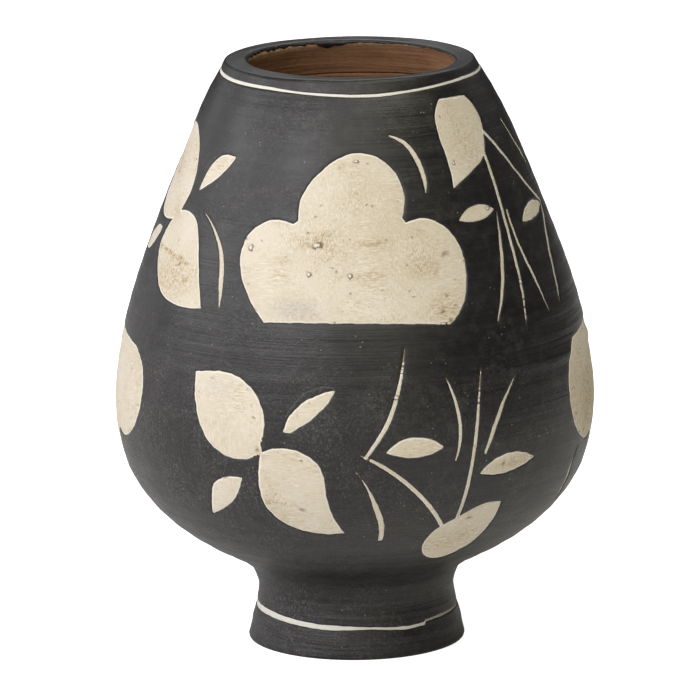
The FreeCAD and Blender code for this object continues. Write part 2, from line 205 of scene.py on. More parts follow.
# Height of each cut line's middle and its half width, in mm at azimuths
RIM_LINE = [(-180, 266.0), (-90, 266.1), (-60, 265.6), (-38, 265.45), (-20, 264.55), (0, 263.9), (12, 263.85),
            (30, 264.7), (45, 265.5), (60, 266.0), (90, 265.6), (180, 266.0)]
RIM_LINE_HALF = [(-180, 0.8), (-40, 0.88), (-25, 0.62), (-5, 0.74), (12, 0.72), (25, 0.5), (40, 0.6), (60, 0.72),
                 (180, 0.8)]
STUB = 41.5         # azimuth where the clean foot line stops and a scratch goes on
FOOT_LINE = [(-180, 16.8), (-90, 16.7), (-60, 16.3), (-40, 15.4), (-20, 14.5), (0, 14.5), (10, 14.35), (20, 13.7),
             (30, 13.3), (STUB, 13.8), (STUB + 1.2, 14.9), (52, 15.3), (80, 15.6), (120, 16.2), (180, 16.8)]
FOOT_LINE_HALF = [(-180, 1.1), (-90, 1.25), (-60, 1.3), (-40, 1.2), (-15, 1.2), (-6, 0.95), (2, 0.65), (12, 0.5),
                  (28, 0.75), (STUB, 0.7), (STUB + 1.2, 0.5), (95, 0.55), (130, 0.8), (180, 1.1)]


def ring_edges(stops, half_stops, seed, half_wander, ragged=0.0):
    """Lower and upper edge of a line cut round the vase, as functions of azimuth."""
    def middle(theta):
        return s_at(around(theta, stops)) + ring_wave(theta, seed, 0.06)

    def half(theta):
        wander = ring_wave(theta, seed + 1, half_wander)
        return around(theta, half_stops) + wander + ragged * np.sin(theta * 37) * np.sin(theta * 11)

    return lambda theta: middle(theta) - half(theta), lambda theta: middle(theta) + half(theta)


rim_low, rim_high = ring_edges(RIM_LINE, RIM_LINE_HALF, 3, 0.08)
foot_low, foot_high = ring_edges(FOOT_LINE, FOOT_LINE_HALF, 5, 0.05, ragged=0.08)


# ---------------- drawings
def outline(stretches, step=0.9):
    """Closed drawing; each stretch runs smoothly to the next stretch's first point."""
    parts = []
    for i, stretch in enumerate(stretches):
        parts.append(smooth(stretch + [stretches[(i + 1) % len(stretches)][0]], step)[:-1])
    return np.concatenate(parts)


def stroke(points, step=0.9):
    """Tool stroke; each point is x, y and the width there."""
    middle = smooth(points, step)
    along = np.gradient(middle[:, :2], axis=0)
    along /= np.hypot(*along.T)[:, None]
    aside = np.c_[-along[:, 1], along[:, 0]] * middle[:, 2:] / 2
    return np.r_[middle[:, :2] + aside, (middle[:, :2] - aside)[::-1]]


# Each drawing is a set of pieces by the end of their names; a piece is one loop or several that overlap
CLOUD_UP = {"": [outline([
    [(-41, -33), (-49, -19), (-52, -5), (-46.5, 9.5), (-37.5, 13.5)],
    [(-28, 11)],
    [(-26, 12.5), (-25, 22), (-15.5, 35), (1, 43), (15.5, 37), (22, 22)],
    [(21, 14)],
    [(22.5, 12), (32, 14.5), (43, 9), (50, -9), (48, -25)],
    [(42.5, -33), (0, -34.5)],
])]}


def cloud_down(top):
    return {"": [outline([
        [(-41.5, top), (-52, 13), (-55, 2), (-51.5, -12.5), (-42.5, -21), (-32, -24.5)],
        [(-25, -23)],
        [(-23.5, -25), (-22, -35), (-13, -45.5), (0, -50), (13, -45.5), (21.5, -35)],
        [(22.5, -25)],
        [(24.5, -23), (33, -24.5), (43, -20.5), (51.5, -12), (55, 2), (52, 12)],
        [(41.5, top), (0, top + 2)],
    ])]}


ARC_DOWN = {"": [stroke([
    (-44, -24.5, 0.35), (-46.3, -30, 0.9), (-45.5, -36, 1.85), (-43, -43, 2.05), (-38, -51, 0.6)])]}

PETALS_UP = {
    "_pair": [outline([
        [(-9, 1.5), (-2, 2), (5.5, 0), (13.5, -10), (20.5, -24)],
        [(27.5, -37.5), (10, -40), (-5, -36.5), (-15, -27.5), (-20.5, -17)],
        [(-15.5, -4), (-24, -4.5), (-36, -0.5), (-45, 9), (-48.5, 25)],
        [(-47, 38.5), (-36, 41.5), (-22, 39), (-9, 26), (-5.5, 13)],
    ])],
    "_leaf_high": [outline([[(1, 12), (2.5, 21), (8, 29.5)], [(19, 32), (16, 25.5), (9.5, 18)]])],
    "_leaf_low": [outline([[(-24.5, -9), (-31, -8), (-41, -12)], [(-49, -19), (-40, -20.5), (-30, -16.5)]])],
    "_arc": [stroke([(10, 4, 0.4), (20.5, -2, 1.25), (29.5, -12, 2.25), (33.5, -22, 2.45), (37, -34.5, 0.5)])],
}

PETALS_DOWN = {
    "_pair": [outline([
        [(0.5, 1.5), (9.5, 4), (20, 2), (27.5, -5), (29, -15), (30, -26)],
        [(33.5, -38), (21, -38.5), (8, -34), (-0.5, -24), (-2, -12)],
        [(-0.5, 0)], [(-1.2, -0.9)], [(-1.7, 0.2)], [(-2.6, -1.3)], [(-3.2, -0.7)],
        [(-4.1, -1.9), (-14, -3.5), (-28.5, 4), (-34.5, 17)],
        [(-36, 32.5), (-26, 34.5), (-16.5, 34.5), (-4, 27.5), (1.5, 15)],
        [(0.9, 8.2)], [(0.1, 7.4)], [(0.8, 6.4)], [(-0.2, 5.6)], [(0, 4.2)],
    ])],
    "_leaf_high": [outline([
        [(10, 11), (15.5, 22), (24, 28)], [(33, 30.5), (27.5, 21.5), (19.5, 14.5)], [(14, 11)],
    ])],
    "_leaf_low": [outline([
        [(-10, -12), (-20.5, -13.5), (-25.5, -17), (-28, -25)], [(-29.5, -34), (-22.5, -30), (-16, -24.5)],
    ])],
}

SPRIG_UP = {
    "_bough": [
        outline([
            [(-15, 53.5)],
            [(1.5, 52.5), (6, 42), (3.5, 32.5), (-1, 24.5), (-12, 18.5)],
            [(-25.5, 13), (-24, 24), (-23.5, 38), (-20.5, 48)],
        ]),
        stroke([(-1, 28, 1.95), (-0.5, 5, 2.15), (-1.5, -17, 1.95), (-3, -36, 1.65), (-6.5, -55, 0.6)]),
        stroke([(1.5, 38, 1.85), (12.5, 24.5, 2.05), (25, 10, 2.05), (36, 1.5, 2.05), (43, -2, 1.45)]),
        stroke([(41.5, -1.5, 1.25), (36.5, -11, 2.25), (31, -22, 2.45), (28, -35, 2.25), (25.5, -48.5, 0.7)]),
    ],
    "_stroke_outer": [stroke([(25.5, 38.5, 1.45), (32, 28, 2.25), (38, 20, 2.25), (43, 13, 0.6)])],
    "_stroke_left": [stroke([(-5, -2, 0.5), (-8.5, -16, 1.75), (-14.5, -33.5, 1.85), (-23, -49.5, 0.6)])],
    "_stroke_right": [stroke([(2.5, -2, 1.45), (3.5, -18, 1.65), (8, -34.5, 1.65), (13.5, -51.5, 0.7)])],
    "_arc": [stroke([(-44.5, 43.5, 0.6), (-40, 38.5, 1.75), (-37.5, 28, 2.15), (-37.5, 21, 1.85), (-39, 14.5, 0.5)])],
    "_leaf_left": [outline([[(-28, -1.5), (-20, 3), (-13, 3)], [(-6, -0.5), (-13, -3.5), (-22, -3.5)]])],
    "_leaf_right": [outline([[(12, -9.5), (19, -3), (29, -0.5)], [(39.5, -2.5), (30, -7.5), (20, -9.5)]])],
}

SPRIG_DOWN = {
    "_bough": [
        outline([[(32, -23.5), (22, -23), (11, -28), (0.5, -35), (-2.5, -42.5), (0.5, -50.5), (10, -55), (20, -51),
                  (28, -40)]]),
        stroke([(9.5, -32, 2.05), (13, -5, 1.85), (16.5, 22, 1.55), (19, 40, 0.5)]),
        stroke([(4.5, -35, 2.05), (-6, -20.5, 2.05), (-20, -7, 1.95), (-31, 0.5, 1.65), (-38.5, 4, 0.6)]),
        stroke([(-36.5, 2.5, 1.45), (-33, 8, 1.85), (-27, 18, 2.05), (-21.5, 32, 1.65), (-17, 51, 0.5)]),
    ],
    "_stroke_outer": [stroke([
        (-41, -2.5, 0.35), (-34.5, -11.5, 0.9), (-30, -20.5, 2.2), (-25.5, -30.5, 2.4), (-23.5, -40, 1.9)])],
    "_stroke_left": [stroke([(1, 38, 0.4), (5, 28, 1.45), (7.2, 13, 1.75), (5, 0.5, 0.7)])],
    "_stroke_right": [stroke([(38, 34.5, 0.4), (31, 25.5, 1.45), (25, 14, 2.15), (20, 2, 1.25)])],
    "_leaf_left": [outline([[(-27.5, 5.5), (-20.5, 11.5), (-11, 12.5)], [(-0.5, 7.5), (-10, 3.5), (-21, 3.5)]])],
    "_leaf_right": [outline([[(17.5, -7), (25.5, -1), (37, 0.5)], [(48.5, -4.5), (36, -8.5), (26, -9)]])],
}

# Name, drawings, azimuth of the middle, height of the middle, scale
PLACES = [
    ("cloud_up_front", CLOUD_UP, 0, 200.4, 1.0),
    ("petals_up_left", PETALS_UP, -60, 205, 1.0),
    ("sprig_up_right", SPRIG_UP, 52.6, 212.5, 1.0),
    ("petals_up_back", PETALS_UP, 125, 206, 0.9),
    ("cloud_up_back", CLOUD_UP, 179, 201, 0.9),
    ("sprig_up_back", SPRIG_UP, 226, 212, 0.88),
    ("petals_down_front", PETALS_DOWN, -22.3, 108.1, 1.0),
    ("sprig_down_front", SPRIG_DOWN, 21.8, 105.2, 1.0),
    ("cloud_down_right", cloud_down(25), 92.8, 125.2, 1.0),
    ("arc_down_right", ARC_DOWN, 92.6, 125, 1.0),
    ("petals_down_back", PETALS_DOWN, 156.5, 109, 1.0),
    ("sprig_down_back", SPRIG_DOWN, 201, 105, 1.0),
    ("cloud_down_left", cloud_down(19.5), 268.1, 125.4, 1.0),
    ("arc_down_left", ARC_DOWN, 268.8, 125, 1.0),
]

DRAWING_TILT = math.radians(0.95)    # the drawing as a whole is a little askew
DRAWING_TILT_HEIGHT = 146.0
ASKEW = np.array(Matrix.Rotation(DRAWING_TILT, 3, "Y"))


def carry(points, azimuth, height):
    """Flat drawing carried square onto the wall: azimuth in radians and distance s for each point."""
    a = math.radians(azimuth)
    s0 = s_at(height)
    r0, z0, nr, nz = SKIN.at(s0)
    out = np.array([math.sin(a), -math.cos(a), 0])
    aside = np.array([math.cos(a), math.sin(a), 0])
    up = out * -nz + np.array([0, 0, nr])
    normal = out * nr + np.array([0, 0, nz])
    base = out * r0 + np.array([0, 0, z0]) + points[:, :1] * aside + points[:, 1:] * up
    pivot = np.array([0, 0, DRAWING_TILT_HEIGHT])
    base = (base - pivot) @ ASKEW.T + pivot
    normal = ASKEW @ normal

    def outside(t):
        p = base + t[:, None] * normal
        return np.hypot(p[:, 0], p[:, 1]) - np.interp(p[:, 2], WALL_Z, WALL_R), p

    low = np.full(len(points), 8.0)
    found = np.zeros(len(points), bool)
    while not found.all() and low.min() > -60:
        low = np.where(found, low, low - 1)
        found |= outside(low)[0] <= 0
    high = low + 1
    for _ in range(24):
        middle = (low + high) / 2
        within = outside(middle)[0] <= 0
        low = np.where(within, middle, low)
        high = np.where(within, high, middle)
    p = outside(low)[1]
    theta = a + (np.arctan2(p[:, 0], -p[:, 1]) - a + math.pi) % TURN - math.pi
    return np.c_[theta, s_at(p[:, 2])]


# ---------------- flat polygon helpers
def moved_out(loop, distance):
    """Closed loop moved outwards; loops run either way round."""
    after, before = np.roll(loop, -1, 0), np.roll(loop, 1, 0)
    along = after - before
    along /= np.maximum(np.hypot(*along.T), 1e-9)[:, None]
    side = np.c_[along[:, 1], -along[:, 0]] * np.sign(area(loop))
    return loop + side * (distance[:, None] if np.ndim(distance) else distance)


def area(loop):
    x, y = loop.T
    return 0.5 * np.sum(x * np.roll(y, -1) - np.roll(x, -1) * y)


def inside(points, loop):
    """Which points lie inside a closed loop."""
    result = np.zeros(len(points), bool)
    lo, hi = loop.min(0), loop.max(0)
    near = np.flatnonzero(((points >= lo) & (points <= hi)).all(1))
    if not len(near):
        return result
    px, py = points[near].T
    x0, y0 = loop.T
    x1, y1 = np.roll(loop, -1, 0).T
    with np.errstate(divide="ignore", invalid="ignore"):
        for chunk in np.array_split(np.arange(len(near)), max(1, len(near) * len(loop) // 4000000 + 1)):
            y = py[chunk, None]
            cross = (y0 > y) != (y1 > y)
            at = (x1 - x0) * (y - y0) / (y1 - y0) + x0
            result[near[chunk]] = (cross & (px[chunk, None] < at)).sum(1) % 2 == 1
    return result


def hand_drawn(loop, size, r):
    """Small wander of a cut edge, in mm across the edge."""
    step = np.hypot(*(np.roll(loop, -1, 0) - loop).T)
    t = np.cumsum(step)
    total = np.zeros(len(loop))
    for wave in (11.0, 6.0, 3.7, 2.3):
        k = max(1, round(t[-1] / wave))
        total += r.normal() * np.sin(TURN * k * t / t[-1] + r.uniform(0, TURN)) * (wave / 11) ** 0.5
    return moved_out(loop, total * size)


def loop_edges(loop, start=0):
    """Index pairs round a closed loop whose first point has the index start."""
    n = len(loop)
    return [(start + i, start + (i + 1) % n) for i in range(n)]


def triangulated(points, edges, merge):
    """Constrained triangulation: vertices, triangles and the points that each vertex came from."""
    out = delaunay_2d_cdt([Vector(p) for p in points], edges, [], 0, merge, True)
    return np.array([tuple(v) for v in out[0]]), np.array(out[2]), out[3]


def joined(loops):
    """Outer loop of overlapping drawings."""
    if len(loops) == 1:
        return loops[0]
    edges = []
    for k, loop in enumerate(loops):
        edges += loop_edges(loop, sum(map(len, loops[:k])))
    verts, faces, _ = triangulated(np.concatenate(loops), edges, 1e-5)
    middle = verts[faces].mean(1)
    kept = faces[np.any([inside(middle, loop) for loop in loops], axis=0)]
    sides = dict.fromkeys((int(f[i]), int(f[(i + 1) % 3])) for f in kept for i in range(3))
    left = {a: b for a, b in sides if (b, a) not in sides}
    best = []
    while left:
        first, here = next(iter(left.items()))
        ring = [first]
        del left[first]
        while here != first and here in left:
            ring.append(here)
            here = left.pop(here)
        if len(ring) > len(best):
            best = ring
    return verts[best]


# ---------------- meshes
def weld(points, faces):
    """Merge points that fall on the same place."""
    keys = np.round(points / 1e-7).astype(np.int64)
    _, first, back = np.unique(keys, axis=0, return_index=True, return_inverse=True)
    back = back.reshape(-1)
    new = [tuple(dict.fromkeys(back[list(f)])) for f in faces]
    return points[first], [f for f in new if len(f) > 2], first


def add_object(name, data):
    thing = bpy.data.objects.new(name, data)
    bpy.context.collection.objects.link(thing)
    return thing


def make(name, points, faces, node, slot, values=None):
    """Mesh piece that rides on the vase and stands for a CAD node; values are kept as point attributes."""
    mesh = bpy.data.meshes.new(name)
    mesh.from_pydata(points.tolist(), [], [tuple(int(i) for i in f) for f in faces])
    mesh.update()
    for key, numbers in (values or {}).items():
        layer = mesh.attributes.new(key, "FLOAT", "POINT")
        layer.data.foreach_set("value", np.asarray(numbers, np.float32))
    mesh.shade_smooth()
    piece = add_object(name, mesh)
    mesh.materials.append(MATERIALS[slot])
    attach(piece, BODY)
    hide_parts(node)


def grid_faces(rows, columns):
    """Quads of a grid whose rows follow one another and whose columns close round the vase."""
    i, j = np.meshgrid(np.arange(rows - 1), np.arange(columns), indexing="ij")
    k = (j + 1) % columns
    quads = [i * columns + j, i * columns + k, (i + 1) * columns + k, (i + 1) * columns + j]
    return np.stack(quads, -1).reshape(-1, 4)


U = 95.0               # mm of flat width for each radian of azimuth
FLAT_TURN = TURN * U
AROUND = 720           # columns of the turned pieces
CLAY_AROUND = 480      # columns of the clay sections deeper inside
GRID = 1.7             # mm between the points that fill the body's coat
# Azimuth at each height where the flat body coat is joined, clear of every drawing
SEAM = [(0, -51), (60, -51), (148, -51), (160, -41), (172, -33.5), (185, -37), (196, -39.2), (212, -38), (235, -34),
        (270, -35)]


def seam_u(v):
    """Flat u of the seam at a flat v."""
    z = np.interp(v, WALL_S, WALL_Z)
    return U * np.radians(np.interp(z, [p[0] for p in SEAM], [p[1] for p in SEAM]))


def cut_loops():
    """Every cut drawing as a loop in flat (u, v), hand-drawn and carried onto the wall."""
    cuts = []
    for index, (place, drawings, azimuth, height, scale) in enumerate(PLACES):
        for kind, loops in drawings.items():
            r = np.random.default_rng(100 + index * 17 + len(cuts))
            narrow = "stroke" in kind or "arc" in kind
            loop = hand_drawn(joined([loop * scale for loop in loops]), 0.05 if narrow else 0.075, r)
            cuts.append({"name": place + kind, "uv": carry(loop, azimuth, height) * [U, 1], "azimuth": azimuth,
                         "height": height, "narrow": narrow})
    return cuts


# Faint scored lines on the dark coat, each in the drawing coordinates of a motif
SCORE_HALF, SCORE_LEVEL = 0.42, -0.1
SCORES = [
    ("petals_down_front", [(11.5, 18.5), (15, 24), (19.5, 29), (24, 31), (28, 32), (32, 31)]),
    ("petals_down_front", [(-2, -20), (-0.5, -26), (4, -33), (9, -37)]),
]


def body_coat(cuts):
    """Dark slip of the body: one skin with a window for each drawing and soft cut edges."""
    rows, edges = [], []    # each row is u, v, level and how deep a point is scored

    def add(where, level=0.0, mark=0.0, closed=False):
        if closed:
            edges.extend(loop_edges(where, sum(map(len, rows))))
        blank = np.zeros(len(where))
        rows.append(np.c_[where, blank + level, blank + mark])

    def along(line_edge, v):
        """Edge of the coat along a ring line, from the seam once round to the seam again."""
        u = seam_u(line_edge(np.array([seam_u(v) / U])))[0] + np.linspace(0, FLAT_TURN, int(FLAT_TURN) + 1)
        line = np.c_[u, line_edge(u / U)]
        line[-1, 1] = line[0, 1]
        return line

    def between(p, gap=0.0):
        low, high = (np.interp(p[:, 0], line[:, 0], line[:, 1], period=FLAT_TURN) for line in (bottom, top))
        return (p[:, 1] > low + gap) & (p[:, 1] < high - gap)

    bottom, top = along(foot_high, s_at(14.0)), along(rim_low, s_at(265.0))    # heights of the lines at the seam
    v_seam = np.linspace(bottom[0, 1], top[0, 1], 200)[1:-1]
    left = np.c_[seam_u(v_seam), v_seam]
    border = np.r_[bottom, left + [FLAT_TURN, 0], top[::-1], left[::-1]]
    level = np.zeros(len(border))
    level[:len(bottom)] = EDGE_LEVEL
    level[len(bottom) + len(left):][:len(top)] = EDGE_LEVEL
    add(border, level, closed=True)
    loops = []
    for cut in cuts:
        middle = cut["uv"].mean(0)
        loop = cut["uv"] - [math.floor((middle[0] - seam_u(middle[1])) / FLAT_TURN) * FLAT_TURN, 0]
        loops.append(loop)
        add(loop, EDGE_LEVEL, closed=True)
        ring = moved_out(loop, EDGE_WIDTH)
        add(ring[~inside(ring, loop)])
    add(bottom[1:-1] + [0, EDGE_WIDTH])
    add(top[1:-1] - [0, EDGE_WIDTH])
    fill = []
    for k, v in enumerate(np.arange(bottom[:, 1].min(), top[:, 1].max(), GRID * 0.87)):
        u = seam_u(v) + GRID * (0.5 + 0.5 * (k % 2)) + np.arange(0, FLAT_TURN - GRID * 1.2, GRID)
        fill.append(np.c_[u, np.full(len(u), v)])
    fill = np.concatenate(fill)
    fill += rng.uniform(-0.12, 0.12, fill.shape) * GRID
    fill = fill[between(fill, 1.1)]
    for loop in loops:
        fill = fill[~inside(fill, moved_out(loop, 1.15))]
    add(fill)
    places = {place: (azimuth, height) for place, _, azimuth, height, _ in PLACES}
    for place, line in SCORES:
        middle = smooth(line, 0.7)
        ahead = np.gradient(middle, axis=0)
        ahead /= np.hypot(*ahead.T)[:, None]
        aside = np.c_[-ahead[:, 1], ahead[:, 0]] * SCORE_HALF
        for offset, mark in ((0, 1.0), (1, 0.0), (-1, 0.0)):
            scored = carry(middle + aside * offset, *places[place]) * [U, 1]
            scored[:, 0] += FLAT_TURN * (scored[:, 0] < seam_u(scored[:, 1]))
            add(scored, mark * SCORE_LEVEL, mark)

    table = np.concatenate(rows)
    verts, faces, ids = triangulated(table[:, :2], edges, 1e-6)
    source = np.array([found[0] if found else -1 for found in ids])
    level, mark = np.where(source[:, None] >= 0, table[source, 2:], 0.0).T
    middle = verts[faces].mean(1)
    side = seam_u(middle[:, 1])
    keep = (middle[:, 0] > side) & (middle[:, 0] < side + FLAT_TURN) & between(middle)
    for loop in loops:
        keep &= ~inside(middle, loop)
    u, v = verts.T
    solid = [space(SKIN, u / U, v, level + relief(u / U, v))]
    all_faces = [tuple(f) for f in faces[keep]]

    def fold(line, rings, way, gap=0):
        """Turn an edge of the coat down through (line, level) rings; way is -1 where it runs backwards."""
        start, n = sum(map(len, solid)), len(line)
        wall = relief(line[:, 0] / U, line[:, 1])
        for ring, level in rings:
            solid.append(space(SKIN, ring[:, 0] / U, ring[:, 1], wall + level))
        for a in (start, start + n):
            for i, j in loop_edges(line)[:n - gap]:
                all_faces.append((a + i, a + j, a + n + j, a + n + i)[::way])

    for loop in loops:
        steps = ((0.0, EDGE_LEVEL), (-0.05, FOLD_LEVEL), (-0.17, BASE_LEVEL))
        fold(loop, [(moved_out(loop, out), level) for out, level in steps], 1 if area(loop) > 0 else -1)
    for line, way in ((bottom, -1), (top, 1)):
        steps = ((0.0, EDGE_LEVEL), (0.06, -0.36), (0.16, BASE_LEVEL))
        fold(line, [(line + [0, out * way], level) for out, level in steps], way, gap=1)
    solid = np.concatenate(solid)
    mark = np.r_[mark, np.zeros(len(solid) - len(mark))]
    points, all_faces, kept = weld(solid, all_faces)
    make("coat_body", points, all_faces, "dark_coat_body", "dark_slip", {"score": mark[kept]})


# Raised blisters (+1) and pits (-1) in each drawing's own coordinates: x, y, radius, way
BLISTERS = {
    "cloud_up_front": [(-47, 1.5, 1.15, 1), (-17.5, 1, 1.5, 1), (-21, -12, 0.95, 1), (-2.5, -13, 0.95, 1),
                       (40, -1, 1.2, -1), (0, 39, 0.8, 1), (41, -20, 0.7, -1), (43, -31, 0.9, -1), (39.5, -33, 0.9, 1)],
    "petals_down_front_pair": [(17, -25.5, 0.9, -1), (-2, 2, 0.8, -1)],
    "petals_up_left_pair": [(-30, 18, 0.8, 1), (4, -22, 0.8, -1)],
    "sprig_up_right_bough": [(-21, 24, 0.8, 1), (-2.6, -35.2, 1.2, 1)],
    "sprig_up_right_leaf_left": [(-10, 0.5, 0.9, 1)],
    "sprig_down_front_bough": [(-22.5, 30.3, 1.1, 1), (16, -30, 0.8, -1)],
    "sprig_down_front_leaf_right": [(30, -4, 0.8, -1)],
}
# Soft brown and grey marks: x, y, half width, half height, strength
BROWN = {
    "cloud_up_front": [(41, -26, 8, 7, 0.55), (-20, 2, 9, 3, 0.5), (-14, 5.5, 5, 2, 0.45), (8, 2, 7, 2, 0.5),
                       (-33, -5, 4, 3, 0.35), (4, -13, 8, 2, 0.45), (32, -8, 7, 4, 0.45), (-32, 12, 5, 1.5, 0.3),
                       (28, 8, 3, 1.5, 0.4), (0, 26, 3, 11, 0.18), (4, 18, 30, 26, 0.14), (18, -6, 34, 12, 0.10)],
    "petals_down_front_pair": [(4, -23, 12, 1.0, 0.6), (8, -30, 13, 6, 0.25), (0, 2, 4, 3, 0.35),
                               (-20, 15, 8, 10, 0.15)],
    "petals_up_left_pair": [(-32, 22, 9, 8, 0.3), (-12, 0, 6, 3, 0.3), (0, -30, 16, 9, 0.5),
                            (-17, -17.0, 3.2, 0.6, 1.2), (-12, -17.6, 3, 0.5, 1.2), (-7, -18.3, 3.2, 0.8, 1.3),
                            (-2, -19.4, 3, 0.5, 1.1), (3, -19.4, 2.6, 0.9, 1.3), (8, -21.0, 3.2, 0.6, 1.1),
                            (12, -28, 1.6, 1.2, 1.0)],
    "sprig_down_front_leaf_right": [(35, -4.5, 8, 2, 0.5)],
    "sprig_down_front_bough": [(14, -42, 11, 9, 0.3)],
    "sprig_up_right_bough": [(-10, 33, 9, 14, 0.3)],
    "cloud_down_right": [(-30, -5, 18, 18, 0.6)],
}
GREY = {"cloud_up_front": [(-27, -28, 11, 4.5, 0.75)], "petals_down_front_pair": [(-25, 26, 6, 4, 0.3)]}


def placed(cut, table):
    """Rows that a table lists for a drawing, with x and y turned into flat u and v."""
    rows = np.array(table.get(cut["name"], []), float)
    return np.c_[carry(rows[:, :2], cut["azimuth"], cut["height"]) * [U, 1], rows[:, 2:]] if len(rows) else rows


def soft_marks(cut, table, u, v):
    """Strength at each point of the soft-edged marks listed for a drawing."""
    total = np.zeros(len(u))
    for x, y, wide, high, strength in placed(cut, table):
        stretch = SKIN.at(y)[0] / U
        total += strength * np.exp(-((u - x) * stretch / wide) ** 2 - ((v - y) / high) ** 2)
    return total


def hash_name(name):
    """Same number for the same name on every run."""
    total = 0
    for letter in name:
        total = (total * 31 + ord(letter)) % 1000003
    return total


def inlay(cut):
    """Cream slip that shows in one cut drawing: brushed, slightly sunken, with pits and blisters; blister tops carry a
    painted highlight and their rings a painted shade on one side.
    """
    loop = moved_out(cut["uv"], 0.12)
    r = np.random.default_rng(hash_name(cut["name"]) % 100000)
    lo, hi = loop.min(0), loop.max(0)
    size = abs(area(loop))
    step, border = (1.25, 1.3) if size > 150 else (0.8, 0.5)
    uu, vv = np.meshgrid(np.arange(lo[0], hi[0], step), np.arange(lo[1], hi[1], step * 0.87))
    uu = uu + (np.arange(uu.shape[0])[:, None] % 2) * step / 2
    fill = np.c_[uu.ravel(), vv.ravel()]
    fill = fill + r.uniform(-0.12, 0.12, fill.shape) * step
    spots = [tuple(row) for row in placed(cut, BLISTERS)]
    for _ in range(int(size / 150)):
        p = r.uniform(lo, hi)
        spots.append((p[0], p[1], r.uniform(0.3, 0.6), -1))
    points = [loop, moved_out(loop, -border), fill[inside(fill, moved_out(loop, -border - 0.35 * step))]]
    for x, y, radius, _ in spots:
        for ring in range(1, 7):
            angle = np.arange(4 + ring * 3) * TURN / (4 + ring * 3) + ring
            points.append(np.c_[x + radius * 0.3 * ring * np.cos(angle), y + radius * 0.3 * ring * np.sin(angle)])
    free = np.concatenate(points[1:])
    free = free[inside(free, moved_out(loop, -0.3))]
    verts, faces, ids = triangulated(np.r_[loop, free], loop_edges(loop), 1e-5)
    faces = faces[inside(verts[faces].mean(1), loop)]
    edge = np.array([float(bool(found) and min(found) < len(loop)) for found in ids])
    u, v = verts.T
    grain = 0.04 * np.sin(v * 2.2 + 0.8 * np.sin(u / 9)) * np.sin(u / 7.3 + v / 3.1)
    grain = grain + 0.06 * np.sin(u / 5.2 + 1.7) * np.sin(v / 4.1 + 0.4) + 0.05 * np.sin(u / 13 - v / 9)
    grain = grain + cut["narrow"] * 0.05 * np.sin(TURN * v / 1.9 + np.sin(v / 5))
    mark, pale = np.zeros((2, len(verts)))
    for x, y, radius, way in spots:
        angle = np.arctan2(v - y, u - x)
        odd = 1 + 0.22 * np.sin(2 * angle + x) + 0.14 * np.sin(3 * angle + y) + 0.08 * np.sin(5 * angle + x * y)
        d = np.hypot((u - x) * 0.85, (v - y) * 1.2) / (radius * odd)
        lump = np.exp(-(d * 1.3) ** 4)
        moat = np.exp(-((d - 1.1) / 0.34) ** 2)
        grain = grain + way * 0.24 * radius * lump - 0.07 * radius * moat
        # Brown ring round each spot, made darker on one side as painted shade; pits are also darkened in the middle
        shaded = np.clip(moat * (1.0 + 0.5 * np.sin(angle + 2.2)), 0, 1)
        mark = np.maximum(mark, shaded if way > 0 else 0.75 * lump + 0.4 * shaded)
        # Raised blisters get a pale top: a painted highlight
        if way > 0:
            pale = np.maximum(pale, lump)
    level = CREAM_LEVEL + grain - 0.06 * edge
    top = space(SKIN, u / U, v, level + relief(u / U, v))
    base = space(SKIN, loop[:, 0] / U, loop[:, 1], BASE_LEVEL + relief(loop[:, 0] / U, loop[:, 1]))
    way = 1 if area(loop) > 0 else -1
    skirt = [(i, len(verts) + i, len(verts) + j, j)[::way] for i, j in loop_edges(loop)]
    values = {"stain": soft_marks(cut, BROWN, u, v), "grey": soft_marks(cut, GREY, u, v), "mark": mark, "pale": pale,
              "edge": edge}
    values = {key: np.r_[numbers, np.full(len(loop), float(key == "edge"))] for key, numbers in values.items()}
    make("slip_" + cut["name"], np.r_[top, base], [tuple(f) for f in faces] + skirt, "cream_" + cut["name"],
         "cream_slip", values)


def ring_strip(name, node, low, high, scratch_to=0):
    """Cream slip in a turned groove; past the stub it is only a grey scratch, up to an azimuth."""
    theta = turn_angles(AROUND)
    bottom, top = low(theta) - 0.1, high(theta) + 0.1
    shares = [(0, BASE_LEVEL), (0, -0.30), (0.2, -0.26), (0.5, -0.22), (0.8, -0.26), (1, -0.30), (1, BASE_LEVEL)]
    wander = 0.03 * ring_wave(theta * 5, 21, 1.0)
    rows = []
    for share, level in shares:
        s = bottom + (top - bottom) * share
        rows.append(space(SKIN, theta, s, relief(theta, s) + level + (wander if level > BASE_LEVEL else 0)))
    edge = np.repeat([1.0, 1.0, 0.2, 0.0, 0.2, 1.0, 1.0], AROUND)
    az = (np.degrees(np.tile(theta, len(shares))) + 180) % 360 - 180
    scratch = ((az > STUB + 0.6) & (az < scratch_to)).astype(float)
    make(name, np.concatenate(rows), grid_faces(len(rows), AROUND), node, "cream_slip",
         {"edge": edge, "grey": scratch, "pale": 0.85 * (1 - scratch)})


def turned_coat(name, node, starts, ends, step, height):
    """Dark slip turned round the vase between two edges that may wander, folded down at both."""
    theta = turn_angles(AROUND)
    first, last = starts(theta), ends(theta)
    width = (last - first).mean()
    soft = EDGE_WIDTH / width
    rows = [(first - 0.12, BASE_LEVEL), (first - 0.04, FOLD_LEVEL + height(theta, first)),
            (first, EDGE_LEVEL + height(theta, first))]
    for share in np.r_[soft, np.linspace(0, 1, max(4, int(width / step)))[1:-1], 1 - soft]:
        s = first + (last - first) * share
        rows.append((s, height(theta, s)))
    rows += [(last, EDGE_LEVEL + height(theta, last)), (last + 0.04, FOLD_LEVEL + height(theta, last)),
             (last + 0.12, BASE_LEVEL)]
    points = np.concatenate([space(SKIN, theta, s, level) for s, level in rows])
    make(name, points, grid_faces(len(rows), AROUND), node, "dark_slip")


def mouth_shift(theta):
    """The opening sits a little to the right of the pot's axis, measured square to the inside wall."""
    return -MOUTH_OFFSET * np.sin(theta)


